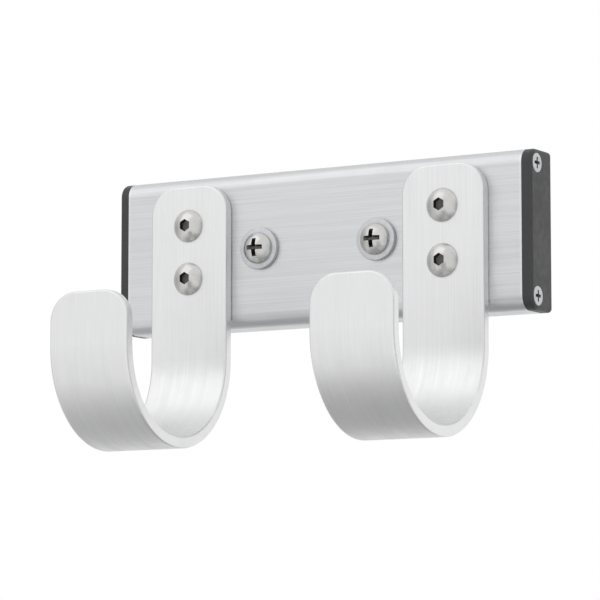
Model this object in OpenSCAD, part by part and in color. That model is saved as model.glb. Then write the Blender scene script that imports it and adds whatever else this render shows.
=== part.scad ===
// Wall rack for a long-handled cleaning tool: two flat-bar hooks bolted to a short aluminium rail.
// Millimetres. +X runs along the wall to the right, +Y into the wall and +Z up.
// The origin is on the wall, midway between the two wall screws.

/* [Hooks] */
// Width of the flat bar
bar_w = 25.4; // [20:0.1:35]
// Thickness of the flat bar
bar_t = 3.2; // [2:0.1:5]
// Rounding of the bar's edges
bar_edge_r = 0.6; // [0.3:0.1:0.9]
// Corner radius of the bar's two ends
tip_r = 8; // [4:0.5:9.5]
// Inside diameter of the bend
bend_in_d = 47.6; // [36:0.1:60]
// Straight height of the front lip above the bend
lip_straight = 15; // [10:0.5:30]
// Distance between the centres of the two hooks
hook_pitch = 82.5; // [65:0.5:120]
// Distance of the hook's upper end below the rail's upper edge
leg_inset = 3; // [1:0.5:6]

/* [Rail] */
// Height of the rail
rail_h = 44.4; // [37:0.1:60]
// Depth of the rail, from the wall to its front
rail_d = 12.7; // [11:0.1:18]
// Wall thickness of the rail
rail_t = 2.4; // [1.8:0.1:3]
// Radius of the rail's front edges
rail_r = 4; // [3.2:0.1:5]
// Radius of the rail's rear edges
rail_rear_r = 1.2; // [1.1:0.1:1.6]
// Height of each rear lip
rail_lip_h = 7; // [5:0.5:9]
// Length of rail outside each hook
rail_end = 10; // [8:0.5:30]
// Height of the rail's lower edge above the hooks' lowest point
rail_rise = 36; // [30:0.5:60]
// Wall thickness of the screw ports
port_t = 1.5; // [1:0.1:2]
// Width of the slit along each screw port
port_slit_w = 1.4; // [0.8:0.1:2]

/* [End caps] */
// Thickness of an end cap's plate
cap_t = 3; // [2.4:0.1:5]
// Rounding of the plate's outer edge
cap_edge_r = 1; // [0.5:0.1:1]
// Length of the two tongues that reach into the rail
tongue_l = 7; // [3:0.5:10]
// Height of each tongue
tongue_h = 5; // [3:0.5:7]
// Chamfer at each tongue's end
tongue_chamfer = 1.2; // [0.5:0.1:2]
// Diameter of the cap screws
cap_screw_d = 2.9; // [2.5:0.1:3.5]
// Diameter of the cap screws' heads
cap_screw_head_d = 5.5; // [4.5:0.1:6]
// Height of the cap screws' countersunk heads
cap_screw_head_h = 1.6; // [1:0.1:2]
// Length of the cap screws
cap_screw_l = 13; // [8:0.5:20]

/* [Hook bolts] */
// Diameter of the hook bolts
bolt_d = 5; // [4:0.1:6]
// Diameter of the bolts' button heads
bolt_head_d = 9.5; // [8:0.1:11]
// Height of the button heads
bolt_head_h = 2.7; // [2:0.1:4]
// Height of the straight rim under each button head's dome
bolt_rim_h = 0.5; // [0.3:0.1:0.8]
// Width across the flats of the hex sockets
socket_af = 3; // [2:0.1:4]
// Depth of the hex sockets
socket_depth = 1.8; // [1:0.1:2.4]
// Chamfer at the bolts' ends
bolt_chamfer = 0.7; // [0.3:0.1:1]
// How far the bolts stand out of their nuts
bolt_past_nut = 1.2; // [0.8:0.1:1.5]
// Diameter of the washers under the nuts
nut_washer_d = 10; // [9:0.1:11]
// Thickness of the washers under the nuts
nut_washer_t = 1; // [0.6:0.1:1.4]
// Width of the nuts across their flats
nut_af = 8; // [7.5:0.1:9]
// Height of the nuts' hexagon
nut_hex_h = 3.6; // [3:0.1:4]
// Height of the round collar that grips the bolt
nut_collar_h = 1.2; // [0.8:0.1:1.6]
// Diameter of the round collar
nut_collar_d = 7.2; // [6.5:0.1:7.5]

/* [Wall fixings] */
// Distance from a hook's inner edge to the wall screw beside it
screw_inset = 9.5; // [8:0.1:14]
// Diameter of the wall screws over their thread
screw_d = 4.5; // [3.5:0.1:5]
// Diameter of the wall screws' plain shanks
screw_shank_d = 3.4; // [2.8:0.1:4]
// Length of the wall screws under their heads
screw_l = 50; // [40:1:70]
// Length of the wall screws' points
screw_point_l = 6; // [4:0.5:8]
// Diameter of the wall screws' pan heads
screw_head_d = 9; // [8:0.1:11]
// Height of the pan heads
screw_head_h = 3; // [2.4:0.1:4]
// Height of the straight rim under each pan head's dome
screw_rim_h = 0.7; // [0.3:0.1:1]
// Length of the two arms of the cross recess
recess_l = 5; // [3:0.1:6]
// Width of the arms of the cross recess
recess_w = 1.2; // [0.8:0.1:1.6]
// Depth of the cross recess
recess_depth = 1.8; // [1:0.1:2.2]
// Diameter of the washers under the pan heads
screw_washer_d = 12; // [10:0.1:13]
// Thickness of the washers under the pan heads
screw_washer_t = 1.2; // [0.8:0.1:2]
// Outside diameter of the spacer sleeves
sleeve_d = 9; // [8:0.1:11]

/* [Hidden] */
$fn = 96;
left = -1;
right = 1;
lower = -1;
upper = 1;

// Clearances, each on one side
hole_gap = 0.25;
thread_gap = 0.05;
tongue_gap = 0.2;
// How far a cut runs past the face that it opens
over = 1;

// Hook, measured from the wall and from the rail's middle
bend_mid_r = bend_in_d / 2 + bar_t / 2;
bend_out_r = bend_in_d / 2 + bar_t;
leg_y = -rail_d - bar_t / 2;
bend_y = leg_y - bend_mid_r;
lip_y = bend_y - bend_mid_r;
bend_z = -rail_h / 2 - rail_rise + bend_out_r;
leg_straight = rail_h / 2 - leg_inset - bend_z;
hook_x = hook_pitch / 2;

// Rail, with its screw ports in the front corners
rail_l = hook_pitch + bar_w + 2 * rail_end;
rail_in_r = rail_r - rail_t;
port_d = cap_screw_d + 2 * thread_gap;
port_ring_d = port_d + 2 * port_t;
port_y = -rail_d + rail_t + port_d / 2;
port_z = rail_h / 2 - rail_t - port_d / 2;
bolt_hole_d = bolt_d + 2 * hole_gap;
screw_hole_d = screw_d + 2 * hole_gap;
screw_x = hook_x - bar_w / 2 - screw_inset;
// Each bolt sits halfway between the rail's middle and the nearer port
bolt_z = (port_z - port_ring_d / 2) / 2;

// Places of the fasteners along their axes, as distances from the wall
web_z = rail_d - rail_t;
bolt_seat_z = rail_d + bar_t;
nut_seat_z = web_z - nut_washer_t;
nut_end_z = nut_seat_z - nut_hex_h - nut_collar_h;
bolt_end_z = nut_end_z - bolt_past_nut;
screw_seat_z = rail_d + screw_washer_t;
screw_end_z = screw_seat_z - screw_l;

// End cap tongues: against the rail's web, beside the screw ports
tongue_top_z = port_z - port_ring_d / 2 - tongue_gap;
tongue_y = -web_z + tongue_gap;
tongue_d = rail_d - 2 * rail_t - 2 * tongue_gap;

// Radius of the sphere whose cap is d wide and h high
function dome_radius(d, h) = (d * d / 4 + h * h) / (2 * h);

// Distance across the corners of a hexagon that is af across its flats
function hex_corners(af) = af / cos(30);

function side_name(side) = side == left ? "left" : "right";

function row_name(row) = row == lower ? "lower" : "upper";

// Draws a right-hand piece on the chosen side of the rack
module on_side(side) {
    if (side == left) mirror([1, 0, 0]) children();
    else children();
}

// Places a piece on one bolt axis of the right-hand hook, its Z axis pointing out of the wall
module at_bolt(row) {
    translate([hook_x, 0, row * bolt_z]) rotate([90, 0, 0]) children();
}

// Places a piece on the right-hand wall screw's axis, its Z axis pointing out of the wall
module at_wall_screw() {
    translate([screw_x, 0, 0]) rotate([90, 0, 0]) children();
}

// Places a piece on one screw port at the rail's right end, its Z axis pointing out of the rail
module at_port(row) {
    translate([rail_l / 2, port_y, row * port_z]) rotate([0, 90, 0]) children();
}

module rounded_rect(size, r) {
    square([size.x - 2 * r, size.y], center = true);
    square([size.x, size.y - 2 * r], center = true);
    for (x = [-1, 1], y = [-1, 1])
        translate([x * (size.x / 2 - r), y * (size.y / 2 - r)]) circle(r);
}

module ring(outer_d, inner_d, h) {
    difference() {
        cylinder(d = outer_d, h = h);
        translate([0, 0, -over]) cylinder(d = inner_d, h = h + 2 * over);
    }
}

// Domed disc, d wide and h high in all, with a straight rim of height rim_h
module domed_head(d, h, rim_h) {
    r = dome_radius(d, h - rim_h);
    intersection() {
        translate([0, 0, h - r]) sphere(r);
        cylinder(d = d, h = h + over);
    }
}

// Section of the bar's end from its middle to its outer edge: height along X, thickness along Y
module tip_section() {
    flat_t = bar_t - 2 * bar_edge_r;
    translate([0, -bar_t / 2]) square([tip_r - bar_edge_r, bar_t]);
    translate([0, -flat_t / 2]) square([tip_r, flat_t]);
    for (edge = [-1, 1])
        translate([tip_r - bar_edge_r, edge * flat_t / 2]) circle(bar_edge_r);
}

// Rounded end of the bar: the block between the corners, and a quarter turn of the section at each corner
module bar_tip() {
    block_w = bar_w - 2 * tip_r;
    rotate([90, 0, 90]) linear_extrude(block_w, center = true) rotate(90) tip_section();
    translate([block_w / 2, 0, 0]) rotate([90, 0, 0]) rotate_extrude(angle = 90) tip_section();
    translate([-block_w / 2, 0, 0]) rotate([90, 0, 0]) rotate([0, 0, 90])
        rotate_extrude(angle = 90) tip_section();
}

// Upright length of bar with a rounded upper end
module bar_upright(length) {
    linear_extrude(length - tip_r) rounded_rect([bar_w, bar_t], bar_edge_r);
    translate([0, 0, length - tip_r]) bar_tip();
}

// Half-round bend of the bar about the X axis, open upwards
module bar_bend() {
    rotate([0, 90, 0]) rotate([0, 0, -90]) rotate_extrude(angle = 180)
        translate([bend_mid_r, 0]) rounded_rect([bar_t, bar_w], bar_edge_r);
}

module hook(side) {
    color("silver") on_side(side) difference() {
        translate([hook_x, 0, bend_z]) {
            translate([0, bend_y, 0]) bar_bend();
            translate([0, lip_y, 0]) bar_upright(lip_straight);
            translate([0, leg_y, 0]) bar_upright(leg_straight);
        }
        for (row = [lower, upper]) at_bolt(row)
            translate([0, 0, rail_d - over]) cylinder(d = bolt_hole_d, h = bar_t + 2 * over);
    }
}

// Rectangle from y0 to y1, h tall, with corners of radius r0 at y0 and r1 at y1
module channel_block(y0, y1, h, r0, r1) {
    translate([y0 + r0, -h / 2]) square([y1 - r1 - y0 - r0, h]);
    translate([y0, r0 - h / 2]) square([r0, h - 2 * r0]);
    translate([y1 - r1, r1 - h / 2]) square([r1, h - 2 * r1]);
    for (row = [lower, upper]) {
        translate([y0 + r0, row * (h / 2 - r0)]) circle(r0);
        translate([y1 - r1, row * (h / 2 - r1)]) circle(r1);
    }
}

// Cross-section of the rail: open at the back between two lips, with a slit screw port in each front corner
module rail_section() {
    slot_h = rail_h - 2 * rail_lip_h;
    difference() {
        union() {
            difference() {
                channel_block(-rail_d, 0, rail_h, rail_r, rail_rear_r);
                channel_block(-web_z, -rail_t, rail_h - 2 * rail_t, rail_in_r, rail_in_r);
                translate([-rail_d / 2, -slot_h / 2]) square([rail_d / 2 + over, slot_h]);
            }
            for (row = [lower, upper]) translate([port_y, row * port_z]) circle(d = port_ring_d);
        }
        for (row = [lower, upper]) translate([port_y, row * port_z]) {
            circle(d = port_d);
            rotate(-row * 45) translate([0, -port_slit_w / 2]) square([port_ring_d / 2 + over, port_slit_w]);
        }
    }
}

module rail() {
    web_cut_h = rail_t + 2 * over;
    color("gainsboro") difference() {
        rotate([90, 0, 90]) linear_extrude(rail_l, center = true) rail_section();
        for (side = [left, right]) on_side(side) {
            for (row = [lower, upper]) at_bolt(row)
                translate([0, 0, web_z - over]) cylinder(d = bolt_hole_d, h = web_cut_h);
            at_wall_screw() translate([0, 0, web_z - over]) cylinder(d = screw_hole_d, h = web_cut_h);
        }
    }
}

// Section of an end cap's rim, w wide, with its outer edge at X = w rounded at the top
module rim_section(w) {
    intersection() {
        square([w, cap_t]);
        union() {
            square([w, cap_t - cap_edge_r]);
            square([w - cap_edge_r, cap_t]);
            translate([w - cap_edge_r, cap_t - cap_edge_r]) circle(cap_edge_r);
        }
    }
}

// Straight stretch of rim along Y, centred, with its outer edge towards +X
module rim_edge(length, w) {
    rotate([90, 0, 0]) linear_extrude(length, center = true) rim_section(w);
}

// Half of an end cap's plate, drawn flat: depth along X from the rail's front to the wall, height along +Y
module cap_half() {
    front_x = rail_r - rail_d;
    rear_x = -rail_rear_r;
    front_h = rail_h / 2 - rail_r;
    rear_h = rail_h / 2 - rail_rear_r;
    translate([front_x, 0, 0]) cube([rear_x - front_x, rear_h, cap_t]);
    translate([front_x, front_h / 2, 0]) rotate(180) rim_edge(front_h, rail_r);
    translate([rear_x, rear_h / 2, 0]) rim_edge(rear_h, rail_rear_r);
    translate([(front_x + rear_x) / 2, rear_h, 0]) rotate(90) rim_edge(rear_x - front_x, rail_rear_r);
    translate([front_x, front_h, 0]) rotate(90) rotate_extrude(angle = 90) rim_section(rail_r);
    translate([rear_x, rear_h, 0]) rotate_extrude(angle = 90) rim_section(rail_rear_r);
}

module cap_plate() {
    translate([rail_l / 2, 0, 0]) rotate([90, 0, 90]) {
        cap_half();
        mirror([0, 1, 0]) cap_half();
    }
}

// Tongue that reaches into the rail, chamfered on its two long sides at the end
module cap_tongue() {
    translate([rail_l / 2, tongue_y + tongue_d / 2, tongue_top_z - tongue_h / 2])
        rotate([0, -90, 0]) rotate([90, 0, 0]) linear_extrude(tongue_d, center = true) polygon([
            [-tongue_h / 2, 0], [tongue_h / 2, 0], [tongue_h / 2, tongue_l - tongue_chamfer],
            [tongue_h / 2 - tongue_chamfer, tongue_l], [tongue_chamfer - tongue_h / 2, tongue_l],
            [-tongue_h / 2, tongue_l - tongue_chamfer]
        ]);
}

module end_cap(side) {
    color("dimgray") on_side(side) difference() {
        union() {
            cap_plate();
            cap_tongue();
            mirror([0, 0, 1]) cap_tongue();
        }
        for (row = [lower, upper]) at_port(row) {
            translate([0, 0, -over]) cylinder(d = port_d, h = cap_t + 2 * over);
            translate([0, 0, cap_t - cap_screw_head_h])
                cylinder(d1 = port_d, d2 = cap_screw_head_d + 2 * thread_gap, h = cap_screw_head_h);
            translate([0, 0, cap_t]) cylinder(d = cap_screw_head_d + 2 * thread_gap, h = over);
        }
    }
}

module cap_screw(side, row) {
    color("silver") on_side(side) at_port(row) {
        translate([0, 0, cap_t - cap_screw_l]) cylinder(d = cap_screw_d, h = cap_screw_l);
        translate([0, 0, cap_t - cap_screw_head_h])
            cylinder(d1 = cap_screw_d, d2 = cap_screw_head_d, h = cap_screw_head_h);
    }
}

module hook_bolt(side, row) {
    shank_z = bolt_end_z + bolt_chamfer;
    color("lightgray") on_side(side) at_bolt(row) difference() {
        union() {
            translate([0, 0, bolt_end_z])
                cylinder(d1 = bolt_d - 2 * bolt_chamfer, d2 = bolt_d, h = bolt_chamfer);
            translate([0, 0, shank_z]) cylinder(d = bolt_d, h = bolt_seat_z - shank_z);
            translate([0, 0, bolt_seat_z]) domed_head(bolt_head_d, bolt_head_h, bolt_rim_h);
        }
        translate([0, 0, bolt_seat_z + bolt_head_h - socket_depth]) rotate(30)
            cylinder(d = hex_corners(socket_af), h = socket_depth + over, $fn = 6);
    }
}

module nut_washer(side, row) {
    color("silver") on_side(side) at_bolt(row)
        translate([0, 0, nut_seat_z]) ring(nut_washer_d, bolt_hole_d, nut_washer_t);
}

module lock_nut(side, row) {
    color("silver") on_side(side) at_bolt(row) difference() {
        union() {
            translate([0, 0, nut_end_z + nut_collar_h])
                cylinder(d = hex_corners(nut_af), h = nut_hex_h, $fn = 6);
            translate([0, 0, nut_end_z]) cylinder(d = nut_collar_d, h = nut_collar_h);
        }
        translate([0, 0, nut_end_z - over])
            cylinder(d = bolt_d + 2 * thread_gap, h = nut_seat_z - nut_end_z + 2 * over);
    }
}

// Screw with a pan head: its shank is plain inside the rail, and its thread starts at the wall
module wall_screw(side) {
    thread_z = screw_end_z + screw_point_l;
    color("lightgray") on_side(side) at_wall_screw() difference() {
        union() {
            translate([0, 0, screw_end_z]) cylinder(d1 = 0, d2 = screw_d, h = screw_point_l);
            translate([0, 0, thread_z]) cylinder(d = screw_d, h = -thread_z);
            cylinder(d = screw_shank_d, h = screw_seat_z);
            translate([0, 0, screw_seat_z]) domed_head(screw_head_d, screw_head_h, screw_rim_h);
        }
        translate([0, 0, screw_seat_z + screw_head_h + over - (recess_depth + over) / 2]) for (arm = [0, 90])
            rotate(arm) cube([recess_l, recess_w, recess_depth + over], center = true);
    }
}

module screw_washer(side) {
    color("silver") on_side(side) at_wall_screw()
        translate([0, 0, rail_d]) ring(screw_washer_d, screw_hole_d, screw_washer_t);
}

module spacer_sleeve(side) {
    color("lightsteelblue") on_side(side) at_wall_screw() ring(sleeve_d, screw_hole_d, web_z);
}

// Draws its child if that node, or the whole rack, is asked for
module piece(name) {
    children();
}

piece("rail") rail();
for (side = [left, right]) {
    piece(str(side_name(side), "_end_cap")) end_cap(side);
    piece(str(side_name(side), "_hook")) hook(side);
    piece(str(side_name(side), "_wall_screw")) wall_screw(side);
    piece(str(side_name(side), "_screw_washer")) screw_washer(side);
    piece(str(side_name(side), "_spacer_sleeve")) spacer_sleeve(side);
    for (row = [lower, upper]) {
        piece(str(side_name(side), "_", row_name(row), "_cap_screw")) cap_screw(side, row);
        piece(str(side_name(side), "_", row_name(row), "_bolt")) hook_bolt(side, row);
        piece(str(side_name(side), "_", row_name(row), "_washer")) nut_washer(side, row);
        piece(str(side_name(side), "_", row_name(row), "_nut")) lock_nut(side, row);
    }
}
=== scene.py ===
"""Looks of a wall rack with two flat-bar hooks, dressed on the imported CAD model.

Lengths are in metres in the CAD frame: +X to the right along the wall, +Y into the wall, +Z up.
The hooks, the rail, the end caps and the spacer sleeves are the CAD solids with finishes of their own.
The bolts, nuts, screws and washers are replaced by turned surfaces with threads, recesses and soft edges.
"""
import math

import bmesh
import bpy
import numpy as np
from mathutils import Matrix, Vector


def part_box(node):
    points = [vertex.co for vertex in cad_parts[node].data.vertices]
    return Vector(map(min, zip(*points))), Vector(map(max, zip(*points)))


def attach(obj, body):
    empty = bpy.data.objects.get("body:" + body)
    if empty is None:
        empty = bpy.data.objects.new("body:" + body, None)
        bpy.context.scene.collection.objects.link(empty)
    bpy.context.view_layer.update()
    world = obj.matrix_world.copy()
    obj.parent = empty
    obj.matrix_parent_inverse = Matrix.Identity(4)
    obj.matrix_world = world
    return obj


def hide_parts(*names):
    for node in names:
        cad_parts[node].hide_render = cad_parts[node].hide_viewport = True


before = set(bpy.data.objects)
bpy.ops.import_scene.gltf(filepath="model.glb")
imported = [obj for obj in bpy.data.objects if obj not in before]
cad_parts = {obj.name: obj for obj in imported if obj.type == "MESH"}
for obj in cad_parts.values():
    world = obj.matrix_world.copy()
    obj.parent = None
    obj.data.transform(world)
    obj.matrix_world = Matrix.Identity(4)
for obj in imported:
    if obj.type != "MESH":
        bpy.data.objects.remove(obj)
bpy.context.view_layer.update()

MM = 0.001
BODY = "root"
SIDES = ("left", "right")
ROWS = ("upper", "lower")

# Camera, fitted to the two hooks in the photograph: its place is measured from between the hooks' bends
CAMERA_AZIMUTH = 31.1
CAMERA_ELEVATION = -5.9
CAMERA_DISTANCE = 0.893
CAMERA_LENS_MM = 196
SENSOR_MM = 36
LOOK_AT = np.array([-0.0008, -0.0214, -0.0167])

# Stage and light: the floor thins out to the white surroundings between two distances from the rack.
# In mirror rays the surroundings are greyer to the left and right, by a power of how far sideways a ray goes
FLOOR_Z = -0.4
FLOOR_RADIUS = 0.75
FLOOR_FADE = (0.4, 0.8)
FLOOR_COLOUR = (0.62, 0.62, 0.62, 1)
FLOOR_ROUGHNESS = 0.9
FLOOR_SHINE = 0.1
WHITE = (1, 1, 1, 1)
WORLD_LIGHT = 0.62
WORLD_SEEN = 1.0
WORLD_BESIDE = 0.55
BESIDE_POWER = 6.0

# Hook bolts: button heads with a hex socket and a fine thread
BOLT_HEAD_H = 2.7 * MM
BOLT_RIM_H = 0.5 * MM
BOLT_R = 2.5 * MM
BOLT_PITCH = 0.8 * MM
BOLT_GROOVE = 0.42 * MM
BOLT_RIDGE_SHARE = 0.9
BOLT_CHAMFER = 0.7 * MM
SOCKET_AF = 3 * MM
SOCKET_DEPTH = 1.8 * MM
SOCKET_FLOOR_SHARE = 0.98
SOCKET_CONE = 0.35 * MM

# Lock nuts: a hexagon with chamfered faces, and a round collar that holds a plastic ring
NUT_AF = 8 * MM
NUT_HEX_H = 3.6 * MM
NUT_BORE_R = 2.55 * MM
NUT_COLLAR_R = 3.6 * MM
NUT_CHAMFER_H = 0.6 * MM
NUT_FACE_SHARE = 0.96
NUT_CHAMFER_SLOPE = 1.75
INSERT_R = 3.15 * MM
INSERT_SUNK = 0.25 * MM
INSERT_H = 0.5 * MM

# Wall screws: pan heads with a cross recess, a plain shank, and a coarse thread that starts at the wall
SCREW_HEAD_H = 3 * MM
SCREW_RIM_H = 0.7 * MM
SCREW_SHANK_R = 1.7 * MM
SCREW_THREAD_R = 2.25 * MM
SCREW_ROOT_R = 1.5 * MM
SCREW_PITCH = 2.2 * MM
SCREW_RIDGE_SHARE = 0.42
SCREW_POINT_L = 6 * MM
RECESS_L = 5 * MM
RECESS_W = 1.2 * MM
RECESS_DEPTH = 1.8 * MM
RECESS_FLOOR_SHARE = 0.62

# Cap screws: countersunk heads with a small cross recess, and a blunt point
CAP_HEAD_H = 1.6 * MM
CAP_THREAD_R = 1.45 * MM
CAP_ROOT_R = 1.1 * MM
CAP_PITCH = 1.1 * MM
CAP_RIDGE_SHARE = 0.5
CAP_POINT_L = 2.2 * MM
CAP_TIP_SHARE = 0.45
CAP_RECESS_L = 3 * MM
CAP_RECESS_W = 0.75 * MM
CAP_RECESS_DEPTH = 1.1 * MM

# Washers' bores, the flat share of a thread's ridge, and small shared roundings
SCREW_WASHER_BORE_R = 2.5 * MM
NUT_WASHER_BORE_R = 2.75 * MM
CREST_SHARE = 0.28
WASHER_ROUND = 0.25 * MM
EDGE = 0.12 * MM

# Mesh fineness, and the rings that line a recess: in its floor, at its floor's edge and at its wall's top
COLUMNS = 96
FINE_THREAD_ROWS = 12
COARSE_THREAD_ROWS = 28
DOME_ROWS = 10
ARM_END_COLUMNS = 6
ARM_SIDE_COLUMNS = 16
ROUND_ROWS = 5
CHAMFER_ROWS = 7
# these rings also carry the painted shade of the recess
RECESS_RINGS = 3
SHARP_ANGLE = math.radians(32)

# Noise: its middle and the range in which most of its values lie. Masks: rising and falling
NOISE_MIDDLE = 0.5
NOISE_RANGE = (0.3, 0.7)
RISING = (0.0, 1.0)
FALLING = (1.0, 0.0)


# Surfaces over rings

def turned(angles, blocks):
    """Rings about the Z axis: x and y are the radius times the cosine and the sine of the angle.

    Each block gives the radii and the heights of one or more rings. Both may be one number, one number
    a ring (a column), one number an angle (a row), or a full grid.
    """
    rows = [(np.atleast_2d(radii), np.atleast_2d(heights)) for radii, heights in blocks]
    grids = [np.broadcast_arrays(radii, heights, angles[None, :]) for radii, heights in rows]
    radius = np.concatenate([grid[0] for grid in grids])
    height = np.concatenate([grid[1] for grid in grids])
    return np.stack([radius * np.cos(angles), radius * np.sin(angles), height], axis=-1)


def skin(rings, closed):
    """Points and faces over rings: each ring closes on itself and joins the next one in four-sided faces.

    A closed skin joins its last ring to its first, as on a washer. An open one ends in a fan to the middle
    of each end ring.
    """
    rows, columns = rings.shape[:2]
    points = rings.reshape(-1, 3)
    index = np.arange(rows * columns).reshape(rows, columns)
    if closed:
        index = np.concatenate([index, index[:1]])
    beside = np.roll(index, -1, axis=1)
    faces = np.stack([index[:-1], beside[:-1], beside[1:], index[1:]], axis=-1).reshape(-1, 4).tolist()
    if not closed:
        points = np.concatenate([points, rings[[0, -1]].mean(axis=1)])
        pole = np.full(columns, rows * columns)
        faces += np.stack([beside[0], index[0], pole], axis=-1).tolist()
        faces += np.stack([index[-1], beside[-1], pole + 1], axis=-1).tolist()
    return points, faces


def out_of_wall(points, node):
    """Turns points about the Z axis to a node's axis out of the wall, with heights from the wall."""
    low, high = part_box(node)
    x = (low.x + high.x) / 2
    z = (low.z + high.z) / 2
    return np.stack([x + points[:, 0], -points[:, 2], z + points[:, 1]], axis=-1)


def out_of_end(points, node):
    """Turns points about the Z axis to a node's axis out of the rail's left or right end."""
    low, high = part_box(node)
    y = (low.y + high.y) / 2
    z = (low.z + high.z) / 2
    side = math.copysign(1, low.x)
    return np.stack([side * points[:, 2], y + side * points[:, 0], z + points[:, 1]], axis=-1)


def keep_value(mesh, name, values):
    """Stores one number a point on the mesh, for the finish to read."""
    mesh.attributes.new(name, "FLOAT", "POINT").data.foreach_set("value", values.astype(np.float32))


def add_turned(name, rings, place, node, material, closed=False, sunk_rings=0, stands_for_node=True):
    """Makes a smooth mesh with outward faces over the rings, at the node's place, and rides it on the rack.

    Each point keeps its distance from the axis, for marks that run round the axis, and a painted-shade mask:
    1 on the first so many rings, which line a recess, and in their middle, and 0 on the rest.
    """
    points, faces = skin(rings, closed)
    mesh = bpy.data.meshes.new(name)
    mesh.from_pydata(place(points, node).tolist(), [], faces)
    shell = bmesh.new()
    shell.from_mesh(mesh)
    if shell.calc_volume(signed=True) < 0:
        bmesh.ops.reverse_faces(shell, faces=shell.faces)
    shell.to_mesh(mesh)
    shell.free()
    keep_value(mesh, "from_axis", np.hypot(points[:, 0], points[:, 1]))
    rows, columns = rings.shape[:2]
    recess_shade_mask = np.arange(len(points)) < sunk_rings * columns
    if sunk_rings:
        first_pole = rows * columns
        recess_shade_mask[first_pole] = True
    # mask of the recess lining, where the finish paints shade into the colour
    keep_value(mesh, "recess_shade_mask", recess_shade_mask)
    mesh.shade_smooth()
    mesh.set_sharp_from_angle(angle=SHARP_ANGLE)
    mesh.materials.append(material)
    piece = bpy.data.objects.new(name, mesh)
    bpy.context.scene.collection.objects.link(piece)
    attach(piece, BODY)
    if stands_for_node:
        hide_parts(node)


# Outlines and threads

def even_angles():
    """Angles spread evenly round the axis."""
    return np.arange(COLUMNS) * 2 * math.pi / COLUMNS


def hexagon(angles, across_flats):
    """Distance to a hexagon's side: half its width over the cosine of the angle to the nearest flat."""
    sixth = math.pi / 3
    off = (angles + sixth / 2) % sixth - sixth / 2
    return across_flats / 2 / np.cos(off)


def cross(angles, length, width):
    """Distance to the outline of a plus sign: to an arm's end or to an arm's side, whichever is nearer."""
    quarter = math.pi / 2
    off = np.abs((angles + quarter / 2) % quarter - quarter / 2)
    to_end = length / 2 / np.cos(off)
    to_side = width / 2 / np.maximum(np.sin(off), EDGE / length)
    return np.minimum(to_end, to_side)


def cross_angles(length, width):
    """Angles that hit every corner of a plus sign: a few over each arm's end, and more along its sides."""
    corner = math.atan2(width, length)
    arm_end = np.linspace(-corner, corner, ARM_END_COLUMNS, endpoint=False)
    arm_side = np.linspace(corner, math.pi / 2 - corner, ARM_SIDE_COLUMNS, endpoint=False)
    quarter = np.concatenate([arm_end, arm_side])
    return (quarter + np.arange(4)[:, None] * math.pi / 2).ravel()


def ridge(angles, heights, pitch, share):
    """How far up a thread's ridge each point stands, from 0 in the groove to 1 on the crest.

    The ridge climbs one pitch a turn and fills this share of the pitch. Its flanks are straight and its crest
    is flat.
    """
    turns = heights / pitch - angles / (2 * math.pi)
    from_middle = np.abs(turns % 1 - 0.5) * 2 / share
    return np.clip((1 - from_middle) / (1 - CREST_SHARE), 0, 1)


def thread_heights(first, last, pitch, rows_a_turn):
    """Column of heights with so many rings in each turn of the thread."""
    return np.linspace(first, last, math.ceil(abs(last - first) / pitch * rows_a_turn))[:, None]


def dome(radius, head_r, head_h, rim_h):
    """Height of a domed head at a radius: a sphere through the head's top and the edge of its rim."""
    rise = head_h - rim_h
    sphere_r = (head_r ** 2 + rise ** 2) / (2 * rise)
    return head_h - sphere_r + np.sqrt(sphere_r ** 2 - np.minimum(radius, head_r) ** 2)


def domed_head(seat, head_r, head_h, rim_h, recess, depth, floor_share, cone_h):
    """Blocks of a domed head, from the bottom of its recess, over the dome, to the edge of its seat.

    The recess narrows from its outline at the dome to floor_share of it at the floor, with a shallow cone
    below. The dome's rings go from the recess's edge to the rim in even steps.
    """
    floor = seat + head_h - depth
    lip = recess + EDGE
    over = lip + (head_r - EDGE - lip) * np.linspace(0, 1, DOME_ROWS)[:, None]
    return [
        (recess * floor_share / 2, floor - cone_h / 2),
        (recess * floor_share, floor),
        (recess, seat + dome(recess, head_r, head_h, rim_h) - EDGE),
        (over, seat + dome(over, head_r, head_h, rim_h)),
        (head_r, seat + rim_h - EDGE),
        (head_r, seat + EDGE),
        (head_r - EDGE, seat),
    ]


def from_wall(node):
    """A node's least and greatest distance from the wall."""
    low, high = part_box(node)
    return -high.y, -low.y


def largest_radius(node):
    """Half a node's height, which is the radius of its largest round part."""
    low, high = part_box(node)
    return (high.z - low.z) / 2


# Fasteners

def bolt_rings(node):
    """Button-head bolt: the domed head with its socket, and a thread with a chamfer at its end."""
    end, top = from_wall(node)
    seat = top - BOLT_HEAD_H
    angles = even_angles()
    socket = hexagon(angles, SOCKET_AF)
    head = domed_head(seat, largest_radius(node), BOLT_HEAD_H, BOLT_RIM_H,
                      socket, SOCKET_DEPTH, SOCKET_FLOOR_SHARE, SOCKET_CONE)
    heights = thread_heights(seat - BOLT_PITCH / 2, end, BOLT_PITCH, FINE_THREAD_ROWS)
    groove = BOLT_GROOVE * (1 - ridge(angles, heights, BOLT_PITCH, BOLT_RIDGE_SHARE))
    chamfer = BOLT_R - np.maximum(0, end + BOLT_CHAMFER - heights)
    return turned(angles, head + [(BOLT_R, seat), (np.minimum(BOLT_R - groove, chamfer), heights)])


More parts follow.
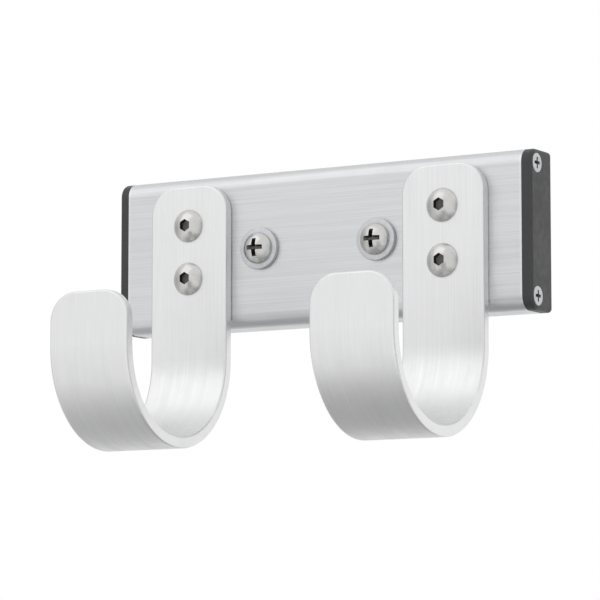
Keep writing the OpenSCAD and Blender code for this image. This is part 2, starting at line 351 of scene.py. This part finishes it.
def wall_screw_rings(node):
    """Pan-head screw: the domed head with its cross, a plain shank, and a thread that narrows to a point.

    In the first turn the core falls from the shank to the root while the ridge grows to its full height.
    """
    end, top = from_wall(node)
    seat = top - SCREW_HEAD_H
    angles = cross_angles(RECESS_L, RECESS_W)
    recess = cross(angles, RECESS_L, RECESS_W)
    head = domed_head(seat, largest_radius(node), SCREW_HEAD_H, SCREW_RIM_H,
                      recess, RECESS_DEPTH, RECESS_FLOOR_SHARE, EDGE)
    shank = [(SCREW_SHANK_R + 2 * EDGE, seat), (SCREW_SHANK_R, seat - 2 * EDGE)]
    heights = thread_heights(0, end, SCREW_PITCH, COARSE_THREAD_ROWS)
    grown = np.clip(-heights / SCREW_PITCH, 0, 1)
    core = SCREW_SHANK_R + (SCREW_ROOT_R - SCREW_SHANK_R) * grown
    climb = (SCREW_THREAD_R - core) * grown * ridge(angles, heights, SCREW_PITCH, SCREW_RIDGE_SHARE)
    narrowed = np.clip((heights - end) / SCREW_POINT_L, EDGE / SCREW_POINT_L, 1)
    return turned(angles, head + shank + [((core + climb) * narrowed, heights)])


def cap_screw_rings(node):
    """Countersunk screw: a flat top with its cross, a cone, and a thread that narrows to a blunt point."""
    low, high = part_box(node)
    top = max(abs(low.x), abs(high.x))
    end = min(abs(low.x), abs(high.x))
    neck = top - CAP_HEAD_H
    head_r = largest_radius(node)
    angles = cross_angles(CAP_RECESS_L, CAP_RECESS_W)
    recess = cross(angles, CAP_RECESS_L, CAP_RECESS_W)
    head = [
        (recess * RECESS_FLOOR_SHARE / 2, top - CAP_RECESS_DEPTH),
        (recess * RECESS_FLOOR_SHARE, top - CAP_RECESS_DEPTH),
        (recess, top - EDGE),
        (recess + EDGE, top),
        (head_r - EDGE, top),
        (head_r, top - EDGE),
        (CAP_THREAD_R, neck),
    ]
    heights = thread_heights(neck - EDGE, end, CAP_PITCH, FINE_THREAD_ROWS)
    climb = (CAP_THREAD_R - CAP_ROOT_R) * ridge(angles, heights, CAP_PITCH, CAP_RIDGE_SHARE)
    narrowed = np.clip(CAP_TIP_SHARE + (1 - CAP_TIP_SHARE) * (heights - end) / CAP_POINT_L, 0, 1)
    return turned(angles, head + [((CAP_ROOT_R + climb) * narrowed, heights)])


def nut_rings(node):
    """Lock nut: a hexagon cut by a cone at both faces, a round collar, the ring's pocket, and the bore.

    The hexagon is turned by half a side, so that a flat faces up.
    """
    half_side = math.pi / 6
    end, seat = from_wall(node)
    hex_end = seat - NUT_HEX_H
    pocket = end + INSERT_SUNK + INSERT_H
    angles = even_angles()
    flats = hexagon(angles + half_side, NUT_AF)
    depth = np.linspace(0, NUT_CHAMFER_H, CHAMFER_ROWS)[:, None]
    chamfer = np.minimum(flats, NUT_AF / 2 * NUT_FACE_SHARE + depth * NUT_CHAMFER_SLOPE)
    return turned(angles, [
        (NUT_BORE_R, seat - 3 * EDGE),
        (NUT_BORE_R + 3 * EDGE, seat),
        (chamfer, seat - depth),
        (chamfer[::-1], hex_end + depth[::-1]),
        (NUT_COLLAR_R + EDGE, hex_end),
        (NUT_COLLAR_R, hex_end - EDGE),
        (NUT_COLLAR_R, end + 3 * EDGE),
        (NUT_COLLAR_R - EDGE, end + EDGE),
        (NUT_COLLAR_R - 3 * EDGE, end),
        (INSERT_R, end + EDGE),
        (INSERT_R, pocket),
        (NUT_BORE_R, pocket),
    ])


def insert_rings(node):
    """Plastic ring in a lock nut's collar: a flat ring with a soft inner edge against the bolt."""
    end, _ = from_wall(node)
    face = end + INSERT_SUNK
    return turned(even_angles(), [
        (NUT_BORE_R, face + INSERT_H),
        (INSERT_R, face + INSERT_H),
        (INSERT_R, face),
        (NUT_BORE_R + 2 * EDGE, face),
        (NUT_BORE_R, face + EDGE),
    ])


def washer_rings(node, bore_r):
    """Flat washer: a plate with a quarter circle at each outer edge, carried round the axis."""
    rear, front = from_wall(node)
    turn = np.linspace(0, math.pi / 2, ROUND_ROWS)[:, None]
    out = largest_radius(node) - WASHER_ROUND * (1 - np.sin(turn))
    drop = WASHER_ROUND * (1 - np.cos(turn))
    return turned(even_angles(), [
        (bore_r + EDGE, rear),
        (bore_r, rear + EDGE),
        (bore_r, front - EDGE),
        (bore_r + EDGE, front),
        (out, front - drop),
        (out[::-1], rear + drop[::-1]),
    ])


# Shader helpers

def feed(tree, socket, value):
    """Links a socket to another one, or sets its plain value."""
    if isinstance(value, bpy.types.NodeSocket):
        tree.links.new(value, socket)
    else:
        socket.default_value = value


def add_node(tree, kind, inputs=None, **settings):
    """Adds a node, sets its settings, and feeds its inputs by name or number."""
    node = tree.nodes.new(kind)
    for name, value in settings.items():
        setattr(node, name, value)
    for name, value in (inputs or {}).items():
        feed(tree, node.inputs[name], value)
    return node


def compute(tree, operation, *values):
    """One step of arithmetic on numbers or sockets."""
    return add_node(tree, "ShaderNodeMath", dict(enumerate(values)), operation=operation).outputs[0]


def remap(tree, value, before, after, course="LINEAR"):
    """Value moved from one range to another, held at both ends: on a straight line or on another course."""
    return add_node(tree, "ShaderNodeMapRange", {
        "Value": value,
        "From Min": before[0],
        "From Max": before[1],
        "To Min": after[0],
        "To Max": after[1],
    }, interpolation_type=course).outputs["Result"]


def noise(tree, place, scale, detail=3.0, roughness=0.55):
    """Cloudy noise, with so many clouds a metre."""
    inputs = {"Vector": place, "Scale": scale, "Detail": detail, "Roughness": roughness}
    return add_node(tree, "ShaderNodeTexNoise", inputs).outputs["Fac"]


def mix_colour(tree, share, first, second):
    """Colour between two, by a share from 0 to 1."""
    return add_node(tree, "ShaderNodeMix", {0: share, 6: first, 7: second}, data_type="RGBA").outputs[2]


def split_axes(tree, vector):
    """The X, Y and Z of a vector, by name."""
    return add_node(tree, "ShaderNodeSeparateXYZ", {0: vector}).outputs


def object_place(tree):
    """Object coordinates, which are the CAD frame's metres."""
    return add_node(tree, "ShaderNodeTexCoord").outputs["Object"]


def point_value(tree, name):
    """A number that the mesh stores at its points."""
    return add_node(tree, "ShaderNodeAttribute", attribute_name=name).outputs["Fac"]


def add_bump(tree, shader, height, depth):
    """Bump of so many metres from a height between 0 and 1."""
    bump = add_node(tree, "ShaderNodeBump", {"Height": height, "Distance": depth})
    feed(tree, shader.inputs["Normal"], bump.outputs["Normal"])


def new_material(name, **plain_inputs):
    """Material with a Principled shader whose plain inputs are set here."""
    material = bpy.data.materials.new(name)
    material.use_nodes = True
    tree = material.node_tree
    shader = tree.nodes["Principled BSDF"]
    for label, value in plain_inputs.items():
        shader.inputs[label.replace("_", " ")].default_value = value
    return material, tree, shader


def new_group(name, inputs, outputs):
    """Empty node group with named sockets: its tree, the sockets it starts from, and those it ends in."""
    tree = bpy.data.node_groups.new(name, "ShaderNodeTree")
    for label, kind in inputs.items():
        tree.interface.new_socket(label, in_out="INPUT", socket_type="NodeSocket" + kind)
    for label in outputs:
        tree.interface.new_socket(label, in_out="OUTPUT", socket_type="NodeSocketFloat")
    return tree, tree.nodes.new("NodeGroupInput").outputs, tree.nodes.new("NodeGroupOutput").inputs


def use_group(tree, group, **inputs):
    """Places a node group in a material, feeds its inputs, and gives its outputs."""
    node = tree.nodes.new("ShaderNodeGroup")
    node.node_tree = group
    for name, value in inputs.items():
        feed(tree, node.inputs[name], value)
    return node.outputs


# Effects shared by the finishes

def drawn_lines():
    """Lines left by drawing or extruding: noise that changes fast across the lines and slowly along them.

    Frequency is the number of lines a metre along each axis. Fine is the grain, and Broad the bands in it,
    each about six lines wide.
    """
    lines_in_a_band = 6.25
    sockets = {"Place": "Vector", "Frequency": "Vector"}
    tree, start, end = new_group("drawn lines", sockets, ["Fine", "Broad"])
    inputs = {0: start["Place"], 1: start["Frequency"]}
    stretched = add_node(tree, "ShaderNodeVectorMath", inputs, operation="MULTIPLY").outputs[0]
    feed(tree, end["Fine"], noise(tree, stretched, 1.0, roughness=0.6))
    feed(tree, end["Broad"], noise(tree, stretched, 1 / lines_in_a_band, detail=2.0))
    return tree


def handling_marks():
    """Smudges from hands and cloths: large clouds times clouds about five times smaller, made a mask."""
    smaller = 5.3
    smudged = (0.18, 0.36)
    tree, start, end = new_group("handling marks", {"Place": "Vector", "Clouds": "Float"}, ["Smudge"])
    large = noise(tree, start["Place"], start["Clouds"], detail=4.0)
    small = noise(tree, start["Place"], compute(tree, "MULTIPLY", start["Clouds"], smaller))
    both = compute(tree, "MULTIPLY", large, small)
    feed(tree, end["Smudge"], remap(tree, both, smudged, RISING))
    return tree


def settled_dust():
    """Dust on faces that look up: the height of the normal, broken up by specks, times an amount."""
    specks_a_metre = 900.0
    speck_range = (0.4, 0.7)
    thinned = (0.2, 1.0)
    looks_up = (0.55, 1.0)
    tree, start, end = new_group("settled dust", {"Place": "Vector", "Amount": "Float"}, ["Dust"])
    normal = add_node(tree, "ShaderNodeNewGeometry").outputs["Normal"]
    facing = remap(tree, split_axes(tree, normal)["Z"], looks_up, RISING)
    specks = noise(tree, start["Place"], specks_a_metre, detail=4.0, roughness=0.7)
    broken = compute(tree, "MULTIPLY", facing, remap(tree, specks, speck_range, thinned))
    feed(tree, end["Dust"], compute(tree, "MULTIPLY", broken, start["Amount"]))
    return tree


def edge_wear():
    """Rubbed edges: full at the edge, gone at Width from it, broken up by noise along the edge."""
    spots_a_metre = 420.0
    thinned = (0.3, 1.0)
    sockets = {"Place": "Vector", "Distance": "Float", "Width": "Float"}
    tree, start, end = new_group("edge wear", sockets, ["Worn"])
    away = compute(tree, "DIVIDE", start["Distance"], start["Width"])
    near = remap(tree, away, RISING, FALLING)
    spots = noise(tree, start["Place"], spots_a_metre, detail=4.0, roughness=0.65)
    feed(tree, end["Worn"], compute(tree, "MULTIPLY", near, remap(tree, spots, NOISE_RANGE, thinned)))
    return tree


DRAWN_LINES = drawn_lines()
HANDLING_MARKS = handling_marks()
SETTLED_DUST = settled_dust()
EDGE_WEAR = edge_wear()


# Distances to edges, for the wear

def bar_edge_distance(tree, place):
    """Distance to a hook bar's side edges: half the bar's width less the distance from its middle line."""
    low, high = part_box("right_hook")
    from_middle = compute(tree, "ABSOLUTE", split_axes(tree, place)["X"])
    off = compute(tree, "ABSOLUTE", compute(tree, "SUBTRACT", from_middle, (low.x + high.x) / 2))
    return compute(tree, "SUBTRACT", (high.x - low.x) / 2, off)


def depth_inside(tree, value, least, most):
    """Depth below the nearer of two faces: half their distance less the distance from their middle."""
    off = compute(tree, "ABSOLUTE", compute(tree, "SUBTRACT", value, (least + most) / 2))
    return compute(tree, "SUBTRACT", (most - least) / 2, off)


def box_edge_distance(tree, x, place, low, high):
    """Distance to a box's nearest edge: the middle one of the depths below its three pairs of faces."""
    axes = split_axes(tree, place)
    first = depth_inside(tree, x, low.x, high.x)
    second = depth_inside(tree, axes["Y"], low.y, high.y)
    third = depth_inside(tree, axes["Z"], low.z, high.z)
    smaller = compute(tree, "MINIMUM", first, second)
    larger = compute(tree, "MAXIMUM", first, second)
    return compute(tree, "MAXIMUM", smaller, compute(tree, "MINIMUM", larger, third))


def rail_edge_distance(tree, place):
    """Distance to the rail's nearest outer edge."""
    return box_edge_distance(tree, split_axes(tree, place)["X"], place, *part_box("rail"))


def cap_edge_distance(tree, place):
    """Distance to an end cap's nearest outer edge, the left cap counted as the right one's mirror image."""
    mirrored = compute(tree, "ABSOLUTE", split_axes(tree, place)["X"])
    return box_edge_distance(tree, mirrored, place, *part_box("right_end_cap"))


# Finishes

def drawn_metal(name, colours, lines, line_depth, roughness, clouds, dust, edge_distance, edge_width):
    """Drawn or extruded metal: lines tint and groove it, smudges and dust dull it, its edges are rubbed.

    Lines is their number a metre along each axis, and clouds the number of large smudges a metre.
    """
    smudge_dulls = 0.06
    dust_dulls = 0.3
    rubbing_polishes = -0.12
    material, tree, shader = new_material(name, Metallic=1.0)
    place = object_place(tree)
    grain = use_group(tree, DRAWN_LINES, Place=place, Frequency=lines)
    smudge = use_group(tree, HANDLING_MARKS, Place=place, Clouds=clouds)["Smudge"]
    settled = use_group(tree, SETTLED_DUST, Place=place, Amount=dust)["Dust"]
    to_edge = edge_distance(tree, place)
    worn = use_group(tree, EDGE_WEAR, Place=place, Distance=to_edge, Width=edge_width)["Worn"]
    on_crest = remap(tree, grain["Fine"], NOISE_RANGE, RISING)
    colour = mix_colour(tree, on_crest, colours["groove"], colours["crest"])
    colour = mix_colour(tree, worn, colour, colours["rubbed"])
    feed(tree, shader.inputs["Base Color"], mix_colour(tree, settled, colour, colours["dusty"]))
    rough = remap(tree, grain["Broad"], NOISE_RANGE, roughness)
    rough = compute(tree, "MULTIPLY_ADD", smudge, smudge_dulls, rough)
    rough = compute(tree, "MULTIPLY_ADD", worn, rubbing_polishes, rough)
    feed(tree, shader.inputs["Roughness"], compute(tree, "MULTIPLY_ADD", settled, dust_dulls, rough))
    add_bump(tree, shader, grain["Fine"], line_depth)
    return material


def moulded_plastic(name, colours, pits, pit_depth, roughness, clouds, dust, edge_distance, edge_width):
    """Plastic from an eroded mould: fine pits and grit, smudges that shine, paler edges and a little dust.

    Pits is their number a metre, and the grit is finer. The roughness goes from clean to smudged.
    """
    grit_in_a_pit = 2
    material, tree, shader = new_material(name)
    place = object_place(tree)
    cells = add_node(tree, "ShaderNodeTexVoronoi", {"Vector": place, "Scale": pits}).outputs["Distance"]
    grit = noise(tree, place, pits * grit_in_a_pit, detail=2.0)
    smudge = use_group(tree, HANDLING_MARKS, Place=place, Clouds=clouds)["Smudge"]
    settled = use_group(tree, SETTLED_DUST, Place=place, Amount=dust)["Dust"]
    to_edge = edge_distance(tree, place)
    worn = use_group(tree, EDGE_WEAR, Place=place, Distance=to_edge, Width=edge_width)["Worn"]
    colour = mix_colour(tree, grit, colours["dark"], colours["light"])
    colour = mix_colour(tree, worn, colour, colours["rubbed"])
    feed(tree, shader.inputs["Base Color"], mix_colour(tree, settled, colour, colours["dusty"]))
    feed(tree, shader.inputs["Roughness"], remap(tree, smudge, RISING, roughness))
    add_bump(tree, shader, compute(tree, "ADD", cells, grit), pit_depth)
    return material


def turned_metal(name, colours, rings_a_metre, ring_share, mark_depth, roughness, clouds, dust):
    """Small hardware: a cloudy tint, tool marks round the axis, painted recess shade, and dust on upper
    faces.

    Ring_share is how much the rings count beside the clouds. The roughness goes from clean to smudged.
    """
    recess_dulls = 0.2
    clouds_in_a_smudge = 4
    material, tree, shader = new_material(name, Metallic=1.0)
    place = object_place(tree)
    out = add_node(tree, "ShaderNodeCombineXYZ", {"X": point_value(tree, "from_axis")}).outputs["Vector"]
    rings = compute(tree, "SUBTRACT", noise(tree, out, rings_a_metre, detail=2.0), NOISE_MIDDLE)
    cloudy = noise(tree, place, clouds, detail=5.0, roughness=0.65)
    marks = compute(tree, "MULTIPLY_ADD", rings, ring_share, cloudy)
    smudge = use_group(tree, HANDLING_MARKS, Place=place, Clouds=clouds / clouds_in_a_smudge)["Smudge"]
    settled = use_group(tree, SETTLED_DUST, Place=place, Amount=dust)["Dust"]
    recess_shade_mask = point_value(tree, "recess_shade_mask")
    tint = remap(tree, marks, NOISE_RANGE, RISING)
    colour = mix_colour(tree, tint, colours["dark"], colours["light"])
    # painted shade: the recess colour laid on the points that line a recess
    colour = mix_colour(tree, recess_shade_mask, colour, colours["recess"])
    feed(tree, shader.inputs["Base Color"], mix_colour(tree, settled, colour, colours["dusty"]))
    rough = remap(tree, smudge, RISING, roughness)
    feed(tree, shader.inputs["Roughness"], compute(tree, "MULTIPLY_ADD", recess_shade_mask, recess_dulls, rough))
    add_bump(tree, shader, marks, mark_depth)
    return material


HOOK_BAR = drawn_metal(
    "hook_bar",
    colours={
        "groove": (0.75, 0.752, 0.758, 1),
        "crest": (0.82, 0.822, 0.828, 1),
        "rubbed": (0.81, 0.812, 0.816, 1),
        "dusty": (0.5, 0.49, 0.47, 1),
    },
    lines=(5200.0, 45.0, 45.0),
    line_depth=0.012 * MM,
    roughness=(0.36, 0.46),
    clouds=45.0,
    dust=0.25,
    edge_distance=bar_edge_distance,
    edge_width=0.9 * MM,
)
RAIL_ALUMINIUM = drawn_metal(
    "rail_aluminium",
    colours={
        "groove": (0.6, 0.61, 0.62, 1),
        "crest": (0.69, 0.7, 0.71, 1),
        "rubbed": (0.78, 0.785, 0.79, 1),
        "dusty": (0.5, 0.49, 0.47, 1),
    },
    lines=(20.0, 3600.0, 3600.0),
    line_depth=0.014 * MM,
    roughness=(0.3, 0.42),
    clouds=40.0,
    dust=0.4,
    edge_distance=rail_edge_distance,
    edge_width=0.8 * MM,
)
CAP_PLASTIC = moulded_plastic(
    "cap_plastic",
    colours={
        "dark": (0.032, 0.033, 0.035, 1),
        "light": (0.055, 0.056, 0.059, 1),
        "rubbed": (0.09, 0.091, 0.095, 1),
        "dusty": (0.3, 0.295, 0.285, 1),
    },
    pits=2600.0,
    pit_depth=0.02 * MM,
    roughness=(0.52, 0.4),
    clouds=90.0,
    dust=0.3,
    edge_distance=cap_edge_distance,
    edge_width=0.7 * MM,
)
STAINLESS_STEEL = turned_metal(
    "stainless_steel",
    colours={
        "dark": (0.56, 0.555, 0.545, 1),
        "light": (0.66, 0.655, 0.645, 1),
        # recess colour: painted shade inside the bolts' sockets and the wall screws' cross recesses
        "recess": (0.13, 0.127, 0.12, 1),
        "dusty": (0.42, 0.41, 0.39, 1),
    },
    rings_a_metre=9000.0,
    ring_share=0.5,
    mark_depth=0.012 * MM,
    roughness=(0.2, 0.3),
    clouds=260.0,
    dust=0.3,
)
ZINC_STEEL = turned_metal(
    "zinc_steel",
    colours={
        "dark": (0.5, 0.515, 0.53, 1),
        "light": (0.61, 0.625, 0.64, 1),
        # recess colour: painted shade inside the cap screws' cross recesses
        "recess": (0.12, 0.12, 0.12, 1),
        "dusty": (0.42, 0.41, 0.39, 1),
    },
    rings_a_metre=9000.0,
    ring_share=0.25,
    mark_depth=0.012 * MM,
    roughness=(0.32, 0.46),
    clouds=600.0,
    dust=0.35,
)


# Dressing

def finish_node(node, material):
    """Gives a CAD node that stays in view its finish."""
    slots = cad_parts[node].data.materials
    slots.clear()
    slots.append(material)


def add_hook_fixing(place):
    """The bolt, washer, lock nut and plastic ring of one fixing of a hook."""
    bolt = place + "_bolt"
    washer = place + "_washer"
    nut = place + "_nut"
    add_turned(bolt + "_turned", bolt_rings(bolt), out_of_wall, bolt,
               STAINLESS_STEEL, sunk_rings=RECESS_RINGS)
    add_turned(washer + "_turned", washer_rings(washer, NUT_WASHER_BORE_R), out_of_wall, washer,
               ZINC_STEEL, closed=True)
    add_turned(nut + "_turned", nut_rings(nut), out_of_wall, nut,
               ZINC_STEEL, closed=True)
    add_turned(nut + "_insert", insert_rings(nut), out_of_wall, nut,
               CAP_PLASTIC, closed=True, stands_for_node=False)


def add_cap_screw(place):
    """One screw of an end cap."""
    screw = place + "_cap_screw"
    add_turned(screw + "_turned", cap_screw_rings(screw), out_of_end, screw,
               ZINC_STEEL, sunk_rings=RECESS_RINGS)


def add_wall_fixing(side):
    """The screw and washer of one wall fixing."""
    screw = side + "_wall_screw"
    washer = side + "_screw_washer"
    add_turned(screw + "_turned", wall_screw_rings(screw), out_of_wall, screw,
               STAINLESS_STEEL, sunk_rings=RECESS_RINGS)
    add_turned(washer + "_turned", washer_rings(washer, SCREW_WASHER_BORE_R), out_of_wall, washer,
               ZINC_STEEL, closed=True)


def dress_rack():
    """Puts a finish on each CAD node that stays, and a turned piece in the place of each fastener."""
    finish_node("rail", RAIL_ALUMINIUM)
    for side in SIDES:
        finish_node(side + "_hook", HOOK_BAR)
        finish_node(side + "_end_cap", CAP_PLASTIC)
        finish_node(side + "_spacer_sleeve", RAIL_ALUMINIUM)
        add_wall_fixing(side)
        for row in ROWS:
            place = side + "_" + row
            add_hook_fixing(place)
            add_cap_screw(place)


# Stage, light and camera

def towards(azimuth, elevation):
    """Unit vector towards a viewer: azimuth in degrees from the front to the right, elevation upwards."""
    turn = math.radians(azimuth)
    rise = math.radians(elevation)
    return np.array([math.sin(turn) * math.cos(rise), -math.cos(turn) * math.cos(rise), math.sin(rise)])


def between_bends():
    """Point midway between the middles of the hooks' bends, each half the hook's depth above its bottom."""
    low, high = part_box("right_hook")
    return np.array([0, (low.y + high.y) / 2, low.z + (high.y - low.y) / 2])


def aim(thing, place):
    """Puts a lamp or the camera at a place, looking at the rack with its top up."""
    thing.location = place
    thing.rotation_euler = Vector(LOOK_AT - place).to_track_quat("-Z", "Y").to_euler()
    bpy.context.scene.collection.objects.link(thing)


def add_floor():
    """Pale round floor: a flat disc that thins out with the distance from the rack, unseen from below."""
    rim = turned(even_angles(), [(FLOOR_RADIUS, FLOOR_Z)])[0]
    mesh = bpy.data.meshes.new("floor")
    mesh.from_pydata(rim.tolist(), [], [list(range(COLUMNS))])
    material, tree, shader = new_material(
        "floor", Base_Color=FLOOR_COLOUR, Roughness=FLOOR_ROUGHNESS, Specular_IOR_Level=FLOOR_SHINE)
    place = object_place(tree)
    away = add_node(tree, "ShaderNodeVectorMath", {0: place}, operation="LENGTH").outputs["Value"]
    solid = remap(tree, away, FLOOR_FADE, FALLING, course="SMOOTHSTEP")
    from_below = add_node(tree, "ShaderNodeNewGeometry").outputs["Backfacing"]
    from_above = compute(tree, "SUBTRACT", 1.0, from_below)
    feed(tree, shader.inputs["Alpha"], compute(tree, "MULTIPLY", solid, from_above))
    mesh.materials.append(material)
    floor = bpy.data.objects.new("floor", mesh)
    bpy.context.scene.collection.objects.link(floor)


def add_lamp(name, azimuth, elevation, distance, size, power):
    """Square soft lamp that looks at the rack from that side."""
    lamp = bpy.data.lights.new(name, "AREA")
    lamp.size = size
    lamp.energy = power
    aim(bpy.data.objects.new(name, lamp), LOOK_AT + towards(azimuth, elevation) * distance)


def add_world():
    """White surroundings for camera, glass and mirror rays, and a dimmer even light for the rest.

    For mirror rays the white falls to a grey by a power of the direction's X, so that pale metal keeps its
    outline against the white.
    """
    world = bpy.data.worlds.new("studio")
    world.use_nodes = True
    tree = world.node_tree
    tree.nodes.clear()
    direction = add_node(tree, "ShaderNodeTexCoord").outputs["Generated"]
    sideways = compute(tree, "ABSOLUTE", split_axes(tree, direction)["X"])
    beside = compute(tree, "POWER", sideways, BESIDE_POWER)
    mirrored = remap(tree, beside, RISING, (WORLD_SEEN, WORLD_BESIDE))
    path = add_node(tree, "ShaderNodeLightPath").outputs
    strength = remap(tree, path["Is Glossy Ray"], RISING, (WORLD_LIGHT, mirrored))
    seen = compute(tree, "MAXIMUM", path["Is Camera Ray"], path["Is Transmission Ray"])
    strength = remap(tree, seen, RISING, (strength, WORLD_SEEN))
    background = add_node(tree, "ShaderNodeBackground", {"Color": WHITE, "Strength": strength})
    add_node(tree, "ShaderNodeOutputWorld", {"Surface": background.outputs["Background"]})
    bpy.context.scene.world = world


def add_camera():
    """Camera at the photograph's angle and distance, with a longer lens that fills the frame."""
    camera = bpy.data.cameras.new("camera")
    camera.lens = CAMERA_LENS_MM
    camera.sensor_width = SENSOR_MM
    thing = bpy.data.objects.new("camera", camera)
    aim(thing, between_bends() + towards(CAMERA_AZIMUTH, CAMERA_ELEVATION) * CAMERA_DISTANCE)
    bpy.context.scene.camera = thing


dress_rack()
add_floor()
add_world()
add_lamp("key lamp", azimuth=-38, elevation=42, distance=1.8, size=1.6, power=2.8)
add_lamp("side lamp", azimuth=100, elevation=40, distance=1.8, size=1.2, power=0.8)
add_camera()
bpy.context.scene.view_settings.view_transform = "Standard"
